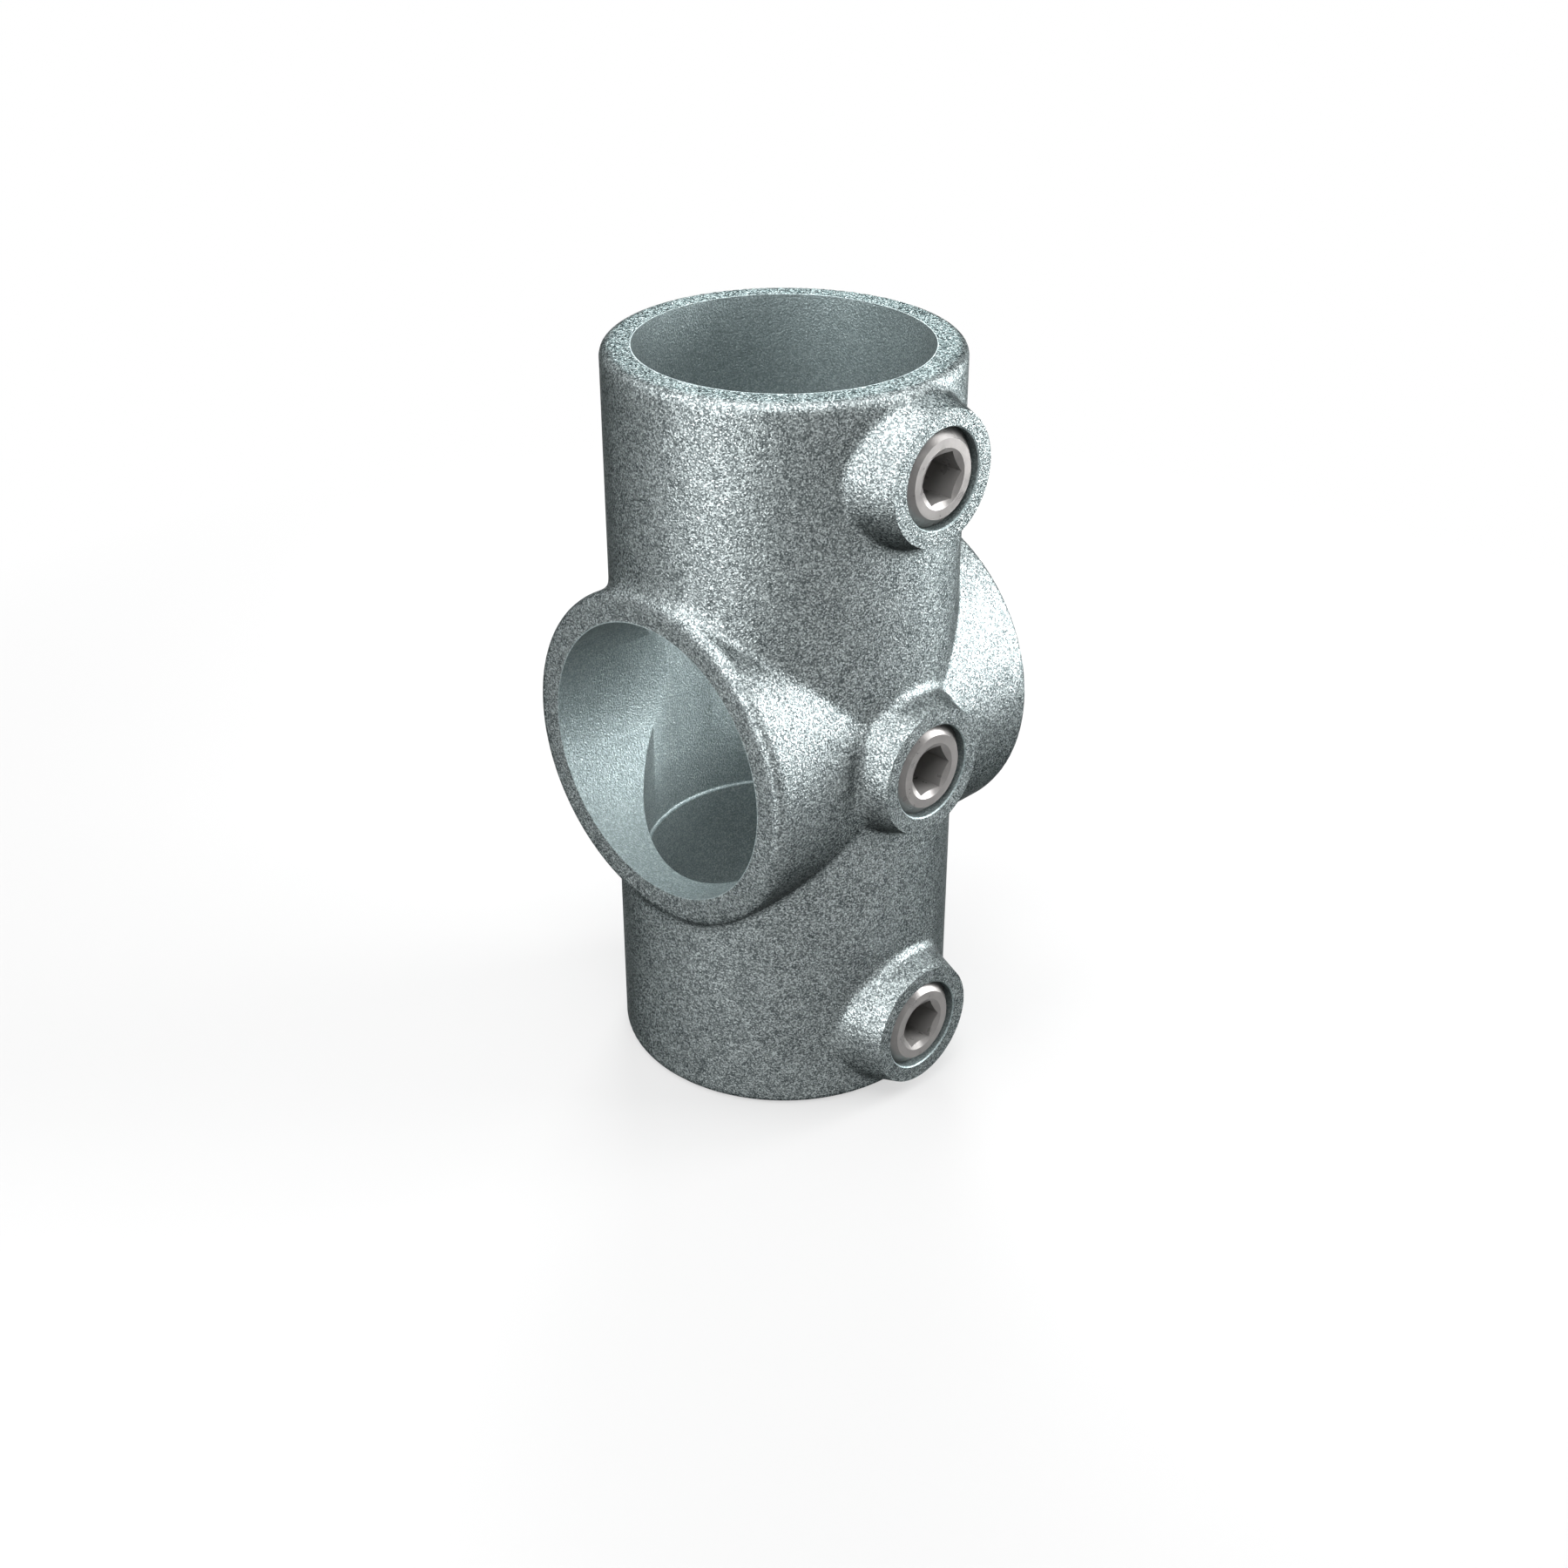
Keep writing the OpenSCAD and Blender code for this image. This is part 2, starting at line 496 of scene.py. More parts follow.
def turned(name: str, profile: Profile, axis: Axis, lift: float, sides: int) -> Object:
    """Turns a profile round an axis into a closed solid.

    Args:
        name: Name of the solid.
        profile: Pairs of place along the axis and radius, in millimetres, between the ends.
        axis: The axis, X or Y or Z.
        lift: Height of the axis where it isn't the Z axis, in millimetres.
        sides: How many faces go round.

    Returns:
        The solid's object, in metres.
    """
    form = bmesh.new()
    rings = []
    for along, radius in profile:
        ring = []
        for k in range(sides):
            turn = 2.0 * math.pi * k / sides
            a, b = radius * math.cos(turn), radius * math.sin(turn)
            place = {
                Axis.X: (along, a, b + lift),
                Axis.Y: (b, along, a + lift),
                Axis.Z: (a, b, along),
            }[axis]
            ring.append(form.verts.new(Vector(place) * MILLIMETRE))
        rings.append(ring)
    for low, high in zip(rings, rings[1:]):
        for k in range(sides):
            after = (k + 1) % sides
            form.faces.new((low[k], low[after], high[after], high[k]))
    form.faces.new(rings[0])
    form.faces.new(rings[-1])
    bmesh.ops.recalc_face_normals(form, faces=form.faces)
    mesh = bpy.data.meshes.new(name)
    form.to_mesh(mesh)
    form.free()
    return linked(name, mesh)


def arc(middle: Pair, radius: float, start: float, end: float, steps: int) -> Profile:
    """Points of an arc in a profile.

    Args:
        middle: The arc's centre, as place along the axis and radius.
        radius: The arc's own radius.
        start: Angle of its first point in degrees, from the axis towards the outside.
        end: Angle of its last point.
        steps: How many lengths it is cut into.

    Returns:
        The points, first and last included.
    """
    along, out = middle
    angles = [math.radians(start + (end - start) * k / steps) for k in range(steps + 1)]
    return [(along + radius * math.cos(turn), out + radius * math.sin(turn)) for turn in angles]


# Finishes


def new_material(name: str) -> tuple[Material, Net]:
    """Makes an empty node material, and gives it with its tree."""
    material = bpy.data.materials.new(name)
    material.use_nodes = True
    return material, Net(material.node_tree)


def tinted(net: Net, amount: Any, first: Any, second: Any) -> NodeSocket:
    """Mixes two colours.

    Args:
        net: The tree.
        amount: Zero for the first, one for the second.
        first: The first colour, plain or from another node.
        second: The second colour, plain or from another node.

    Returns:
        The mixed colour's socket.
    """
    a, b = ((*end, 1.0) if isinstance(end, tuple) else end for end in (first, second))
    sockets = {"Factor_Float": amount, "A_Color": a, "B_Color": b}
    node = net.add("ShaderNodeMix", {"data_type": "RGBA"}, sockets)
    return find_socket(node.outputs, "Result_Color")


def speckle(net: Net, place: Arrow, grain: float, detail: float) -> Value:
    """Fine noise over a surface, whose finer octaves each fade by the same share.

    Args:
        net: The tree.
        place: Where the noise is read.
        grain: Size of a grain in metres.
        detail: How many finer octaves are added.

    Returns:
        Values spread round a half.
    """
    return net.number(
        "ShaderNodeTexNoise",
        "Fac",
        settings={"noise_dimensions": "3D"},
        sockets={"Vector": place, "Scale": 1.0 / grain, "Detail": detail, "Roughness": FADE},
    )


def bumped(net: Net, height: float, relief: Value) -> NodeSocket:
    """Tilts a surface's normal by a relief, whose height is in metres."""
    node = net.add("ShaderNodeBump", None, {"Strength": 1.0, "Distance": height, "Height": relief})
    return node.outputs["Normal"]


def painted(net: Net, sockets: dict[str | int, Any]) -> None:
    """Ends a material's tree in one Principled shader."""
    shader = net.add("ShaderNodeBsdfPrincipled", None, sockets)
    net.add("ShaderNodeOutputMaterial", None, {"Surface": shader.outputs["BSDF"]})


@dataclass(frozen=True)
class GalvanisedSkin:
    """Hot-dip zinc over a cast skin: fine hard crystals, cool grey, and a lighter, less metallic
    copy of the zinc in the bores, which is painted light.

    All lengths are in metres. The reaches say how far the bores, the chamber behind the
    sleeve and the screw holes go from their axes.
    """

    name: str = "galvanised_casting"
    zinc: Colour = (0.40, 0.445, 0.445)
    dull: Colour = (0.05, 0.06, 0.062)
    # painted light: a lighter, less metallic copy of the zinc for the bores, the chamber and the
    # screw holes, so that these hollows read lit
    painted_lit_zinc: Colour = (0.33, 0.39, 0.395)
    painted_lit_dull: Colour = (0.16, 0.197, 0.2)
    metal: float = 1.0
    painted_lit_metal: float = 0.6
    edge: Colour = (0.04, 0.045, 0.045)
    smooth: float = 0.30
    rough: float = 0.42
    bore_reach: float = 0.02515
    chamber_reach: float = 0.0258
    chamber_end: float = 0.0307
    hole_reach: float = 0.00861
    hole_spacing: float = 0.0525
    crystal: float = 0.00022
    crystal_share: float = 0.92
    crystal_relief: float = 0.15
    grain: float = 0.00035
    grain_detail: float = 2.0
    patch: float = 0.003
    patch_detail: float = 1.0
    patch_share: float = 0.08
    patch_span: Pair = (0.35, 0.65)
    patch_shift: tuple[float, float, float] = (0.3, 0.1, 0.7)
    height: float = 0.00015

    def inside(self, place: Arrow) -> Value:
        """Where the surface belongs to a bore, the chamber or a screw hole.

        Args:
            place: The place on the casting.

        Returns:
            One inside, zero outside.
        """
        x, y, z = place.parts()
        from_z, from_y = (x * x + y * y).root(), (x * x + z * z).root()
        bores = from_z.at_most(from_y) < self.bore_reach
        chamber = (from_z < self.chamber_reach) * (z.size() < self.chamber_end)
        beside = z.folded(self.hole_spacing)
        holes = ((y * y + beside * beside).root() < self.hole_reach) * (x > 0.0)
        return bores.at_least(chamber).at_least(holes)

    def material(self) -> Material:
        """Builds the finish.

        Returns:
            The material.
        """
        material, net = new_material(self.name)
        place = net.arrow("ShaderNodeTexCoord", "Object")
        fine = speckle(net, place, self.grain, self.grain_detail)
        broad = speckle(net, place + self.patch_shift, self.patch, self.patch_detail)
        cell = net.arrow(
            "ShaderNodeTexVoronoi",
            "Color",
            settings={"voronoi_dimensions": "3D", "feature": "F1"},
            sockets={"Vector": place, "Scale": 1.0 / self.crystal, "Randomness": 1.0},
        )
        bright = cell.parts()[0]
        patches = broad.spread(*self.patch_span)
        tone = bright * bright * self.crystal_share + patches * self.patch_share
        # painted light: where this mask is one, the bores, chamber and screw holes take the
        # lighter, less metallic copy of the zinc
        inside = self.inside(place)
        outer = tinted(net, tone, self.dull, self.zinc)
        painted_lit_tone = tinted(net, tone, self.painted_lit_dull, self.painted_lit_zinc)
        painted(
            net,
            {
                "Base Color": tinted(net, inside, outer, painted_lit_tone),
                "Metallic": inside.spread(0.0, 1.0, self.metal, self.painted_lit_metal),
                "Specular Tint": (*self.edge, 1.0),
                "Roughness": bright.spread(0.0, 1.0, self.rough, self.smooth),
                "Normal": bumped(net, self.height, fine + bright * self.crystal_relief),
            },
        )
        return material


@dataclass(frozen=True)
class TurnedSteel:
    """Satin steel of the set screws, faintly clouded, and a lighter, less metallic copy of the
    steel inside the hexagon, which is painted light.

    All lengths are in metres. The hexagon starts under a countersink that leans in from the
    mouth.
    """

    name: str = "screw_steel"
    steel: Colour = (0.195, 0.188, 0.182)
    worn: Colour = (0.14, 0.136, 0.133)
    # painted light: a lighter, less metallic copy of the steel for inside the hexagon, so that the
    # socket reads lit
    hexagon: Colour = (0.22, 0.215, 0.21)
    metal: float = 0.65
    hexagon_painted_lit_metal: float = 0.3
    smooth: float = 0.26
    rough: float = 0.38
    spacing: float = 0.0525
    face: float = 0.0352
    mouth: float = 0.00505
    lean: float = 0.577
    clearance: float = 0.00003
    mouth_share: float = 0.97
    hexagon_floor: float = 0.0073
    cloud: float = 0.0024
    cloud_detail: float = 2.0
    cloud_span: Pair = (0.3, 0.7)
    cloud_share: float = 0.6
    grain: float = 0.00018
    grain_detail: float = 1.0
    grain_share: float = 0.4
    height: float = 0.000004

    def inside(self, place: Arrow) -> Value:
        """Where the surface lies in the hexagon, under the countersink.

        Args:
            place: The place on a screw.

        Returns:
            One inside, zero outside.
        """
        x, y, z = place.parts()
        beside = z.folded(self.spacing)
        from_axis = (y * y + beside * beside).root()
        depth = self.face - x
        below = depth > (self.mouth - from_axis) * self.lean + self.clearance
        within = from_axis < self.mouth * self.mouth_share
        return below * within * (depth < self.hexagon_floor)

    def material(self) -> Material:
        """Builds the finish.

        Returns:
            The material.
        """
        material, net = new_material(self.name)
        place = net.arrow("ShaderNodeTexCoord", "Object")
        cloud = speckle(net, place, self.cloud, self.cloud_detail)
        fine = speckle(net, place, self.grain, self.grain_detail)
        low, high = self.cloud_span
        tone = cloud.spread(low, high) * self.cloud_share + fine * self.grain_share
        # painted light: inside the hexagon the steel gives way to its lighter, less metallic copy
        inside = self.inside(place)
        outer = tinted(net, tone, self.worn, self.steel)
        painted(
            net,
            {
                "Base Color": tinted(net, inside, outer, self.hexagon),
                "Metallic": inside.spread(0.0, 1.0, self.metal, self.hexagon_painted_lit_metal),
                "Roughness": cloud.spread(low, high, self.smooth, self.rough),
                "Normal": bumped(net, self.height, fine),
            },
        )
        return material


# The casting


CASTING_SIZES = (
    "Body", "Half height", "Sleeve", "Half sleeve", "Rim", "Sleeve fillet",
    "Boss", "Boss reach", "Draft", "Boss fillet", "Screw height",
)


@dataclass
class CrossBody:
    """The one casting: two sockets, the sleeve across them and three screw bosses.

    All lengths are in millimetres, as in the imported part, and all angles in degrees.
    """

    finish: GalvanisedSkin
    tube_bore: float = 25.0
    body: float = 30.2
    half_height: float = 66.5
    sleeve: float = 30.4
    half_sleeve: float = 31.2
    rim: float = 1.7
    sleeve_fillet: float = 2.2
    boss: float = 11.3
    boss_reach: float = 35.3
    boss_root: float = 3.0
    draft: float = 18.0
    boss_fillet: float = 1.8
    screw_height: float = 52.5
    hole: float = 8.4
    mouth: float = 0.2
    chamber: float = 25.6
    ledge: float = 30.6
    ledge_steps: int = 6
    voxel: float = 0.8
    margin: float = 2.0
    beyond: float = -2.0
    draws: int = 3
    trace: float = 0.001
    least_spare: float = 0.0001
    past_face: float = 1.0
    past_end: float = 4.0
    face_cut: float = 6.0
    hole_flare: float = 2.0
    sides: int = 256
    hole_sides: int = 128
    face_sides: int = 64
    weld: float = 0.01
    crease: float = 32.0

    def rounded_bar_rule(self) -> Recipe:
        """Distance from a bar with rounded rims, and the way out of it.

        Returns:
            The group.
        """
        recipe = Recipe(
            "Rounded bar",
            Socket.ARROW.named("Point", "Axis")
            | Socket.NUMBER.named("Radius", "Half length", "Rim"),
            RULE_GIVES,
        )
        point, axis = recipe.arrow("Point"), recipe.arrow("Axis")
        rim = recipe.number("Rim")
        along = point.dot(axis)
        across = point - axis * along
        past_side = across.length() - recipe.number("Radius") + rim
        past_end = along.size() - recipe.number("Half length") + rim
        side, end = past_side.at_least(0.0), past_end.at_least(0.0)
        corner = (side * side + end * end).root()
        inside = past_side.at_least(past_end).at_most(0.0)
        # a trace of both ways is kept, so that deep inside the way out still has a length
        outward = across.unit() * side.at_least(self.trace)
        way = outward + axis * (along.sign() * end.at_least(self.trace))
        recipe.close(Distance=corner + inside - rim, Way_out=way.unit())
        return recipe

    def boss_rule(self) -> Recipe:
        """Distance from the side of a drafted boss that points along X, and the way out.

        Returns:
            The group.
        """
        recipe = Recipe(
            "Drafted boss",
            Socket.ARROW.named("Point")
            | Socket.NUMBER.named("Height", "Radius", "Reach", "Draft"),
            RULE_GIVES,
        )
        net = recipe.net
        x, y, z = recipe.arrow("Point").parts()
        draft, reach = recipe.number("Draft"), recipe.number("Reach")
        across = net.join(0.0, y, z - recipe.number("Height"))
        lean = draft.tangent()
        side = (across.length() - recipe.number("Radius") - (reach - x) * lean) * draft.cosine()
        # the cone starts inside the body and ends past its face, which is cut flat later
        ends = (reach / self.boss_root - x).at_least(x - reach - self.past_face)
        way = across.unit() * draft.cosine() + net.join(draft.sine(), 0.0, 0.0)
        recipe.close(Distance=side.at_least(ends), Way_out=way)
        return recipe

    def fillet_rule(self) -> Recipe:
        """Joins two forms with the fillet that a rolling ball would leave.

        Returns:
            The group.
        """
        recipe = Recipe(
            "Filleted joint",
            Socket.ARROW.named("Way A", "Way B")
            | Socket.NUMBER.named("Distance A", "Distance B", "Ball"),
            RULE_GIVES,
        )
        near_a, near_b = recipe.number("Distance A"), recipe.number("Distance B")
        way_a, way_b, ball = recipe.arrow("Way A"), recipe.arrow("Way B"), recipe.number("Ball")
        turn = way_a.dot(way_b)
        spare = (1.0 - turn * turn).at_least(self.least_spare)
        room_a, room_b = ball - near_a, ball - near_b
        share_a = (room_a - turn * room_b) / spare
        share_b = (room_b - turn * room_a) / spare
        to_ball = way_a * share_a + way_b * share_b
        under_ball = (share_a > 0.0) * (share_b > 0.0)
        nearer_b = near_a > near_b
        plain = near_a.at_most(near_b)
        plain_way = chosen(recipe.net, nearer_b, way_b, way_a)
        recipe.close(
            Distance=picked(under_ball, ball - to_ball.length(), plain),
            Way_out=chosen(recipe.net, under_ball, to_ball.unit(), plain_way),
        )
        return recipe

    def outer_rule(self) -> Recipe:
        """Distance from the casting's whole outside, and the way out of it.

        Returns:
            The group.
        """
        bar, boss, joint = self.rounded_bar_rule(), self.boss_rule(), self.fillet_rule()
        recipe = Recipe(
            "Outside of the casting",
            Socket.ARROW.named("Point") | Socket.NUMBER.named(*CASTING_SIZES),
            RULE_GIVES,
        )
        net, point = recipe.net, recipe.arrow("Point")
        size = {label: recipe.number(label) for label in CASTING_SIZES}

        def joined(first: Node, second: Node, ball: Value) -> Node:
            """Joins two forms with a fillet."""
            (near_a, way_a), (near_b, way_b) = first.outputs, second.outputs
            return joint.used_in(
                net, Distance_A=near_a, Way_A=way_a, Distance_B=near_b, Way_B=way_b, Ball=ball
            )

        sockets, sleeve = (
            bar.used_in(
                net, Point=point, Axis=axis.value, Radius=size[radius],
                Half_length=size[half], Rim=size["Rim"],
            )
            for axis, radius, half in (
                (Axis.Z, "Body", "Half height"),
                (Axis.Y, "Sleeve", "Half sleeve"),
            )
        )
        form = joined(sockets, sleeve, size["Sleeve fillet"])
        for place in (-1.0, 0.0, 1.0):
            cone = boss.used_in(
                net, Point=point, Height=size["Screw height"] * place, Radius=size["Boss"],
                Reach=size["Boss reach"], Draft=size["Draft"],
            )
            form = joined(form, cone, size["Boss fillet"])
        # the cones would rise above the sockets' ends, so the ends cut the whole form
        height = point.parts()[2]
        reached = Value(net, form.outputs[0])
        past_end = height.size() - size["Half height"]
        straight_out = net.join(0.0, 0.0, height.sign())
        recipe.close(
            Distance=reached.at_least(past_end),
            Way_out=chosen(net, past_end > reached, straight_out, Arrow(net, form.outputs[1])),
        )
        return recipe

    def outside_tree(self) -> Recipe:
        """Tree that makes the casting's outside as a closed skin, in metres.

        Returns:
            The tree.
        """
        rule = self.outer_rule()
        recipe = Recipe(
            "Casting",
            {"Seed": Socket.SHAPE, "Finish": Socket.FINISH}
            | Socket.ARROW.named("Low corner", "High corner")
            | Socket.WHOLE.named("Cells X", "Cells Y", "Cells Z")
            | Socket.NUMBER.named(*CASTING_SIZES),
            {"Shape": Socket.SHAPE},
        )
        net = recipe.net
        sizes = {label.replace(" ", "_"): recipe.number(label) for label in CASTING_SIZES}

        def reading() -> tuple[Value, Arrow]:
            """Reads the rule at each point."""
            here = rule.used_in(net, Point=net.arrow("GeometryNodeInputPosition"), **sizes)
            return Value(net, here.outputs[0]), Arrow(net, here.outputs[1])

        distance, _ = reading()
        block = net.add(
            "GeometryNodeVolumeCube",
            None,
            {
                "Density": 0.0 - distance,
                "Background": self.beyond,
                "Min": recipe.bare("Low corner"),
                "Max": recipe.bare("High corner"),
            }
            | {f"Resolution {axis}": recipe.bare(f"Cells {axis}") for axis in "XYZ"},
        )
        drawn = net.add(
            "GeometryNodeVolumeToMesh",
            {"resolution_mode": "GRID"},
            {"Volume": block.outputs["Volume"], "Threshold": 0.0, "Adaptivity": 0.0},
        )
        skin = drawn.outputs["Mesh"]
        for _ in range(self.draws):
            distance, way = reading()
            skin = net.through("GeometryNodeSetPosition", skin, Offset=way * (0.0 - distance))
        recipe.close_shape(skin)
        return recipe

    def outside(self, material: Material) -> Mesh:
        """Runs the tree for the casting's outside.

        Args:
            material: The finish's material.

        Returns:
            The skin.
        """
        least = (-self.sleeve, -self.half_sleeve, -self.half_height)
        most = (self.boss_reach + self.past_face, self.half_sleeve, self.half_height)
        low = tuple(size - self.margin for size in least)
        high = tuple(size + self.margin for size in most)
        cells = {
            f"Cells {axis}": round((b - a) / self.voxel) for axis, a, b in zip("XYZ", low, high)
        }
        values = sizes_of(self, CASTING_SIZES) | {
            "Draft": math.radians(self.draft),
            "Low corner": low,
            "High corner": high,
            "Finish": material,
        }
        return self.outside_tree().mesh("cross_casting", values | cells)

    def cutters(self) -> list[Object]:
        """Solids that bore the casting and face its bosses.

        Returns:
            The cutters.
        """
        bore = self.tube_bore
        relief = self.chamber - bore
        shoulder = self.ledge - relief
        top, side = self.half_height + self.past_end, self.half_sleeve + self.past_end
        sockets = (
            [(-top, bore)]
            + arc((-shoulder, bore), relief, 180.0, 90.0, self.ledge_steps)
            + arc((shoulder, bore), relief, 90.0, 0.0, self.ledge_steps)
            + [(top, bore)]
        )
        made = [
            turned("socket_bores", sockets, Axis.Z, 0.0, self.sides),
            turned("sleeve_bore", [(-side, bore), (side, bore)], Axis.Y, 0.0, self.sides),
        ]
        hole = [
            (bore / 2.0, self.hole),
            (self.boss_reach - self.mouth, self.hole),
            (self.boss_reach + self.hole_flare, self.hole + self.mouth + self.hole_flare),
        ]
        wide = 2.0 * self.boss
        faced = [(self.boss_reach, wide), (self.boss_reach + self.face_cut, wide)]
        for place in (-1.0, 0.0, 1.0):
            lift = place * self.screw_height
            made.append(turned("boss_face", faced, Axis.X, lift, self.face_sides))
            made.append(turned("screw_hole", hole, Axis.X, lift, self.hole_sides))
        return made

    def build(self) -> Object:
        """Builds and dresses the casting.

        Returns:
            The casting's object.
        """
        material = self.finish.material()
        skin = linked("cross_casting", self.outside(material))
        closed_up(skin.data, self.weld * MILLIMETRE)
        for cutter in self.cutters():
            cut = skin.modifiers.new("cut", "BOOLEAN")
            cut.operation = "DIFFERENCE"
            cut.solver = "MANIFOLD"
            cut.object = cutter
            bored = plain_mesh(skin, "cross_casting")
            skin.modifiers.remove(cut)
            skin.data = bored
            bpy.data.objects.remove(cutter)
        skin.data.materials.clear()
        skin.data.materials.append(material)
        shaded(skin.data, self.crease)
        return skin


# The set screws


SCREW_SIZES = (
    "Radius", "Face", "Tip", "Head bevel", "Tip bevel", "Pitch", "Thread depth",
    "Hexagon", "Hexagon depth", "Mouth", "Cone", "Cup",
)


@dataclass
class SetScrew:
    """A set screw with a thread, a countersunk hexagon socket and a cup in its tip.

    All lengths are in millimetres and all angles in degrees. The screw lies along X.
    """

    finish: TurnedSteel
    radius: float = 8.33
    face: float = 35.2
    tip: float = 25.2
    head_bevel: float = 1.73
    tip_bevel: float = 1.4
    pitch: float = 1.337
    thread_depth: float = 0.72
    crest: float = 0.12
    hexagon: float = 8.0
    hexagon_depth: float = 7.0
    mouth: float = 5.05
    cone: float = 30.0
    cup: float = 4.2
    sides: int = 120
    rings_per_turn: int = 14
    bevel_rings: int = 5
    countersink_rings: int = 3
    flat_rings: int = 8
    weld: float = 0.002
    crease: float = 30.0

    def tree(self) -> Recipe:
        """Tree that makes a screw from turned bands, in metres.

        Returns:
            The tree.
        """
        labels = ("Height", *SCREW_SIZES)
        recipe = Recipe(
            "Set screw",
            {"Seed": Socket.SHAPE, "Finish": Socket.FINISH}
            | Socket.NUMBER.named(*labels)
            | Socket.WHOLE.named("Sides", "Rings"),
            {"Shape": Socket.SHAPE},
        )
        net = recipe.net
        size = {label: recipe.number(label) for label in labels}
        bands: list[NodeSocket] = []

        def band(rule: Callable[[Value, Value], tuple[Any, Any]], rings: Any = 2) -> None:
            """Adds a band that runs once round the screw.

            Args:
                rule: Gives place along the axis and radius for a turn and a share.
                rings: How many rings of points it has.
            """
            around = recipe.number("Sides") + 1.0
            grid = net.add(
                "GeometryNodeMeshGrid",
                None,
                {"Size X": 1.0, "Size Y": 1.0, "Vertices X": around, "Vertices Y": rings},
            )
            u, v, _ = net.arrow("GeometryNodeInputPosition").parts()
            turn, share = (u + 0.5) * (2.0 * math.pi), v + 0.5
            along, radius = rule(turn, share)
            place = net.join(along, radius * turn.cosine(), radius * turn.sine() + size["Height"])
            mesh = grid.outputs["Mesh"]
            bands.append(net.through("GeometryNodeSetPosition", mesh, Position=place))

        def straight(start: tuple[Any, Any], end: tuple[Any, Any]) -> Callable:
            """Rule of a band that runs straight from one ring to another."""
            return lambda turn, share: tuple(picked(share, b, a) for a, b in zip(start, end))

        def threaded(turn: Value, share: Value) -> tuple[Value, Value]:
            """Thread between the two bevels, fading out under the head's bevel."""
            along = size["Tip"] + share * (bevel_top - size["Tip"])
            wave = (along - turn * (size["Pitch"] / (2.0 * math.pi))) / size["Pitch"]
            valley = (wave.folded(1.0) * 2.0).spread(self.crest, 1.0 - self.crest)
            fade = ((bevel_top - along) / size["Pitch"]).at_most(1.0).at_least(0.0)
            cut = size["Radius"] - valley * fade * size["Thread depth"]
            return along, cut.at_most(tip + along - size["Tip"])

        def edge(turn: Value) -> Value:
            """Radius of the hexagon at a turn, its corners on the Y axis."""
            sixth = math.pi / 3.0
            from_flat = (turn + sixth / 2.0).folded(sixth)
            return size["Hexagon"] / 2.0 / from_flat.cosine()

        def countersunk(turn: Value, share: Value) -> tuple[Value, Value]:
            """Countersink from the mouth down to the hexagon's scalloped edge."""
            radius = picked(share, edge(turn), size["Mouth"])
            return size["Face"] - (size["Mouth"] - radius) * slope, radius

        def flats(turn: Value, share: Value) -> tuple[Value, Value]:
            """The six flats, from the countersink to the floor."""
            radius = edge(turn)
            top = size["Face"] - (size["Mouth"] - radius) * slope
            return picked(share, floor, top), radius

        slope = size["Cone"].tangent()
        cup_floor = size["Tip"] + size["Cup"] * slope
        bevel_top = size["Face"] - size["Head bevel"]
        head = size["Radius"] - size["Head bevel"]
        tip = size["Radius"] - size["Tip bevel"]
        floor = size["Face"] - size["Hexagon depth"]
        band(straight((cup_floor, 0.0), (size["Tip"], size["Cup"])))
        band(straight((size["Tip"], size["Cup"]), (size["Tip"], tip)))
        band(threaded, recipe.number("Rings"))
        band(straight((bevel_top, size["Radius"]), (size["Face"], head)), self.bevel_rings)
        band(straight((size["Face"], head), (size["Face"], size["Mouth"])))
        band(countersunk, self.countersink_rings)
        band(flats, self.flat_rings)
        band(lambda turn, share: (floor, edge(turn) * (1.0 - share)))

        joined = net.add("GeometryNodeJoinGeometry")
        for shape in reversed(bands):
            net.feed(joined.inputs[0], shape)
        whole = joined.outputs[0]
        sealed = net.through("GeometryNodeMergeByDistance", whole, Distance=self.weld)
        recipe.close_shape(sealed)
        return recipe

    def build_all(self, heights: dict[str, float]) -> dict[str, Object]:
        """Builds and dresses the screws.

        Args:
            heights: Height of each screw's axis, by the screw's name.

        Returns:
            The screws' objects, by name.
        """
        recipe, material = self.tree(), self.finish.material()
        turns = (self.face - self.head_bevel - self.tip) / self.pitch
        values = sizes_of(self, SCREW_SIZES) | {
            "Cone": math.radians(self.cone),
            "Sides": self.sides,
            "Rings": round(turns * self.rings_per_turn) + 1,
            "Finish": material,
        }
        made = {}
        for name, height in heights.items():
            mesh = recipe.mesh(name, values | {"Height": height})
            closed_up(mesh, self.weld * MILLIMETRE)
            shaded(mesh, self.crease)
            made[name] = linked(name, mesh)
        return made


# The studio


def towards(azimuth: float, elevation: float) -> Vector:
    """Direction at so many degrees from -Y towards +X, and so many above the floor."""
    a, e = math.radians(azimuth), math.radians(elevation)
    return Vector((math.sin(a) * math.cos(e), -math.cos(a) * math.cos(e), math.sin(e)))


def grey(level: float) -> tuple[float, float, float, float]:
    """An opaque grey."""
    return (level, level, level, 1.0)


def background_rays(net: Net) -> Value:
    """Marks the rays that see the white background.

    Args:
        net: The tree.

    Returns:
        One for rays from the camera and for those that metal and glass send on.
    """
    rays = net.add("ShaderNodeLightPath").outputs
    camera, glossy, through = (
        Value(net, rays[f"Is {kind} Ray"]) for kind in ("Camera", "Glossy", "Transmission")
    )
    return camera.at_least(glossy).at_least(through)


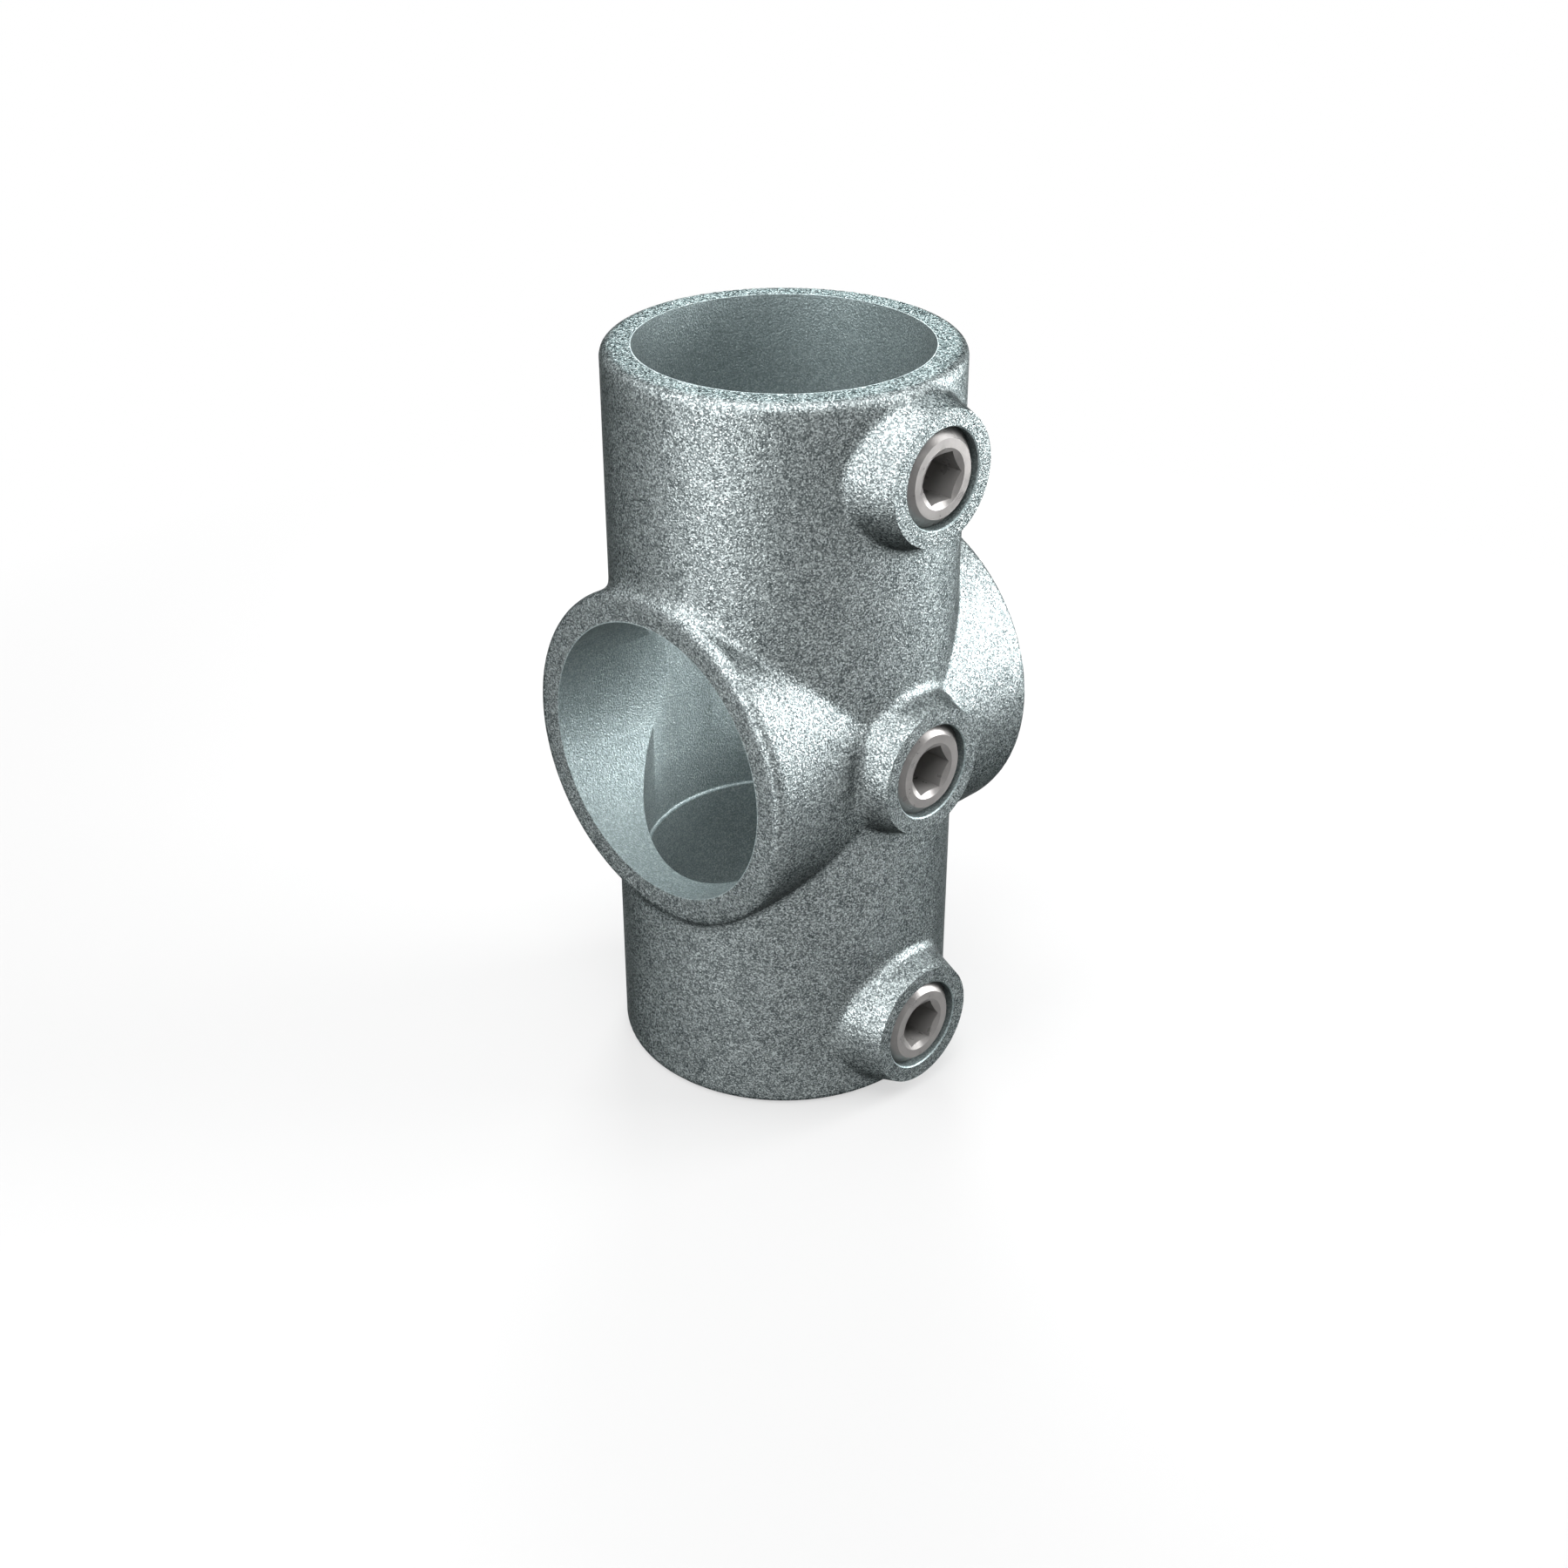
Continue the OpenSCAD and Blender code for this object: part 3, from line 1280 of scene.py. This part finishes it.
@dataclass
class Softbox:
    """A plain rectangular lamp that looks at the clamp's middle.

    Args:
        name: Its name.
        azimuth: Degrees from -Y towards +X, as the views count them.
        elevation: Degrees above the floor.
        distance: Metres from the middle.
        size: Width and height in metres.
        power: Watts.
    """

    name: str
    azimuth: float
    elevation: float
    distance: float
    size: Pair
    power: float

    def build(self) -> None:
        """Puts up the lamp."""
        lamp = bpy.data.lights.new(self.name, "AREA")
        lamp.shape = "RECTANGLE"
        lamp.size, lamp.size_y = self.size
        lamp.energy = self.power
        thing = bpy.data.objects.new(self.name, lamp)
        way = towards(self.azimuth, self.elevation)
        thing.location = way * self.distance
        thing.rotation_euler = way.to_track_quat("Z", "Y").to_euler()
        bpy.context.scene.collection.objects.link(thing)


@dataclass
class Studio:
    """Pale floor, white surround, soft lamps and the photograph's camera.

    All lengths are in metres but the lens's, which are in millimetres.
    """

    floor_height: float
    floor_reach: float = 6.0
    floor_pale: float = 0.14
    floor_glow: float = 0.57
    floor_bounce: float = 0.2
    shadow_span: Pair = (0.16, 0.3)
    surround: float = 0.0
    azimuth: float = 45.0
    elevation: float = 30.0
    distance: float = 0.3879
    drop: float = 0.01457
    lens: float = 50.0
    sensor: float = 36.0
    nearest: float = 0.01
    farthest: float = 100.0
    softboxes: tuple[Softbox, ...] = (
        Softbox("left_strip", 4.0, 7.0, 0.32, (0.09, 0.25), 1.0),
        Softbox("right_strip", 152.0, 9.0, 0.32, (0.10, 0.25), 1.6),
        Softbox("front_strip", 131.0, 12.0, 0.32, (0.08, 0.20), 0.6),
        Softbox("back_strip", 225.0, 9.0, 0.32, (0.12, 0.25), 1.2),
        Softbox("back_high_box", 222.0, 33.0, 0.6, (0.26, 0.18), 2.8),
        Softbox("left_high_box", 335.0, 45.0, 0.6, (0.3, 0.3), 2.3),
        Softbox("right_high_box", 142.0, 40.0, 0.6, (0.3, 0.3), 1.8),
        Softbox("front_high_box", 45.0, 55.0, 0.6, (0.2, 0.2), 1.6),
        Softbox("top_box", 0.0, 80.0, 0.6, (0.4, 0.4), 4.4),
    )

    def camera(self) -> None:
        """Sets up the camera where the photograph was taken from."""
        back = towards(self.azimuth, self.elevation)
        turn = math.radians(self.azimuth)
        right = Vector((math.cos(turn), math.sin(turn), 0.0))
        up = back.cross(right)
        lens = bpy.data.cameras.new("photo_camera")
        lens.lens = self.lens
        lens.sensor_width = self.sensor
        lens.clip_start = self.nearest
        lens.clip_end = self.farthest
        thing = bpy.data.objects.new("photo_camera", lens)
        facing = Matrix((right, up, back)).transposed().to_4x4()
        thing.matrix_world = Matrix.Translation(back * self.distance - up * self.drop) @ facing
        bpy.context.scene.collection.objects.link(thing)
        bpy.context.scene.camera = thing

    def floor(self) -> None:
        """Lays the floor, white to the camera and in metal, with the clamp's shadow kept."""
        reach, low = self.floor_reach, self.floor_height
        turns = ((-1.0, -1.0), (1.0, -1.0), (1.0, 1.0), (-1.0, 1.0))
        square = [(x * reach, y * reach, low) for x, y in turns]
        mesh = bpy.data.meshes.new("floor")
        mesh.from_pydata(square, [], [(0, 1, 2, 3)])
        material, net = new_material("pale_floor")
        pale = net.add("ShaderNodeBsdfDiffuse", None, {"Color": grey(self.floor_pale)})
        glow = net.add(
            "ShaderNodeEmission", None, {"Color": grey(1.0), "Strength": self.floor_glow}
        )
        near = net.add("ShaderNodeAddShader", None, {0: pale.outputs[0], 1: glow.outputs[0]})
        far = net.add("ShaderNodeEmission", None, {"Color": grey(1.0), "Strength": 1.0})
        flat = net.arrow("ShaderNodeTexCoord", "Object") - (0.0, 0.0, low)
        away = flat.length().spread(*self.shadow_span)
        shown = net.add(
            "ShaderNodeMixShader", None, {0: away, 1: near.outputs[0], 2: far.outputs[0]}
        )
        bounce = net.add("ShaderNodeBsdfDiffuse", None, {"Color": grey(self.floor_bounce)})
        mixed = net.add(
            "ShaderNodeMixShader",
            None,
            {0: background_rays(net), 1: bounce.outputs[0], 2: shown.outputs[0]},
        )
        net.add("ShaderNodeOutputMaterial", None, {"Surface": mixed.outputs[0]})
        mesh.materials.append(material)
        linked("floor", mesh)

    def world(self) -> None:
        """Surrounds the clamp with white that is seen, but lights nothing by itself."""
        world = bpy.data.worlds.new("surround")
        world.use_nodes = True
        net = Net(world.node_tree)
        sky = tinted(net, background_rays(net), (self.surround,) * 3, WHITE)
        shade = net.add("ShaderNodeBackground", None, {"Color": sky, "Strength": 1.0})
        net.add("ShaderNodeOutputWorld", None, {"Surface": shade.outputs[0]})
        bpy.context.scene.world = world

    def build(self) -> None:
        """Builds the whole studio."""
        self.camera()
        self.floor()
        self.world()
        for softbox in self.softboxes:
            softbox.build()
        bpy.context.scene.view_settings.view_transform = "Standard"


def carried(thing: Object, body: str, node: str, slot: str) -> None:
    """Makes a piece ride on a body in place of its plain node.

    Args:
        thing: The piece.
        body: The body that carries it.
        node: The node that it stands for.
        slot: Not used.
    """
    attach(thing, body)
    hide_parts(node)
    LOG.info("%s: %d faces, rides on %s", thing.name, len(thing.data.polygons), body)


def main() -> None:
    """Builds the clamp over its frame, and the studio round it."""
    logging.basicConfig(level=logging.INFO, format="%(message)s")
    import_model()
    low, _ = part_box("cross_body")
    skin, steel = GalvanisedSkin(), TurnedSteel()
    body = CrossBody(finish=skin)
    carried(body.build(), "casting", "cross_body", skin.name)
    heights = {
        "upper_screw_dressed": body.screw_height,
        "middle_screw_dressed": 0.0,
        "lower_screw_dressed": -body.screw_height,
    }
    for name, screw in SetScrew(finish=steel).build_all(heights).items():
        which = name.split("_")[0]
        carried(screw, f"{which}_screw", f"{which}_set_screw", steel.name)
    Studio(floor_height=low.z).build()


if __name__ == "__main__":
    main()
